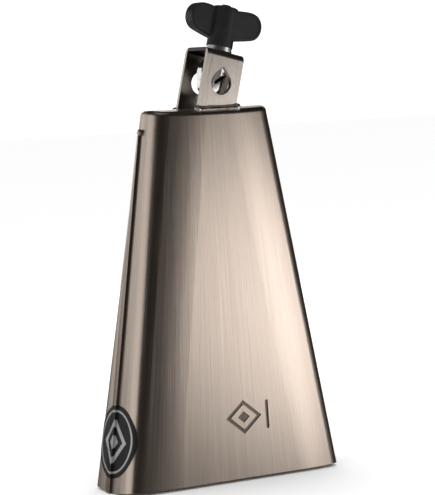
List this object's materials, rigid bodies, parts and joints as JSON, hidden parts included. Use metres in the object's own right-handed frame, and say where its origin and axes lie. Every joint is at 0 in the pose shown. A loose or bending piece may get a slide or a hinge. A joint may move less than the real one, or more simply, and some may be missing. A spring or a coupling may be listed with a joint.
{
  "type": "cowbell",
  "caption": "Wide steel cowbell with an open mouth, lapped side seams and a leaning strap bracket whose wing nut draws an eye bolt up to clamp it on a rod.",
  "frame": {"origin": "middle of the bell's mouth, at the height of the mouth edge's lowest tips", "axes": "+Z along the bell from its open mouth to its closed end, X across the wide face with +X on the side the bracket leans to, -Y out of the front face that carries the pressed mark"},
  "size_m": [0.143, 0.047, 0.2623],
  "materials": {
    "bell_steel": "hand brushed along the bell's length, satin, clear lacquered",
    "bracket_steel": "brushed, satin",
    "weld_metal": "as welded, rippled",
    "plated_hardware": "bright nickel or chrome plating",
    "grip_plastic": "black, lightly textured satin",
    "label_film": "black printed film with silver print"
  },
  "bodies": {
    "bell": {"front_shell": "bell_steel", "rear_shell": "bell_steel", "end_plate": "bell_steel", "left_seam_tack": "weld_metal", "right_seam_tack": "weld_metal", "rod_bracket": "bracket_steel", "bracket_weld_front": "weld_metal", "bracket_weld_rear": "weld_metal", "thrust_washer": "plated_hardware", "side_label": "label_film"},
    "wing_nut": {"nut_insert": "plated_hardware", "wing_nut_grip": "grip_plastic"},
    "eye": {"eye_bolt": "plated_hardware"}
  },
  "joints": [
    {"name": "wing_nut_turn", "type": "hinge", "parent": "bell", "child": "wing_nut", "pos_m": [0.002, -0.0022, 0.2047], "axis": [0.2487, 0, 0.9686], "range_deg": [-216, 1800]},
    {"name": "eye_bolt_slide", "type": "slide", "parent": "bell", "child": "eye", "axis": [0.2487, 0, 0.9686], "range_m": [-0.00505, 0.00065]}
  ],
  "couplings": [
    {"joint": "eye_bolt_slide", "follows": "wing_nut_turn", "m_per_rad": -0.00015915}
  ]
}
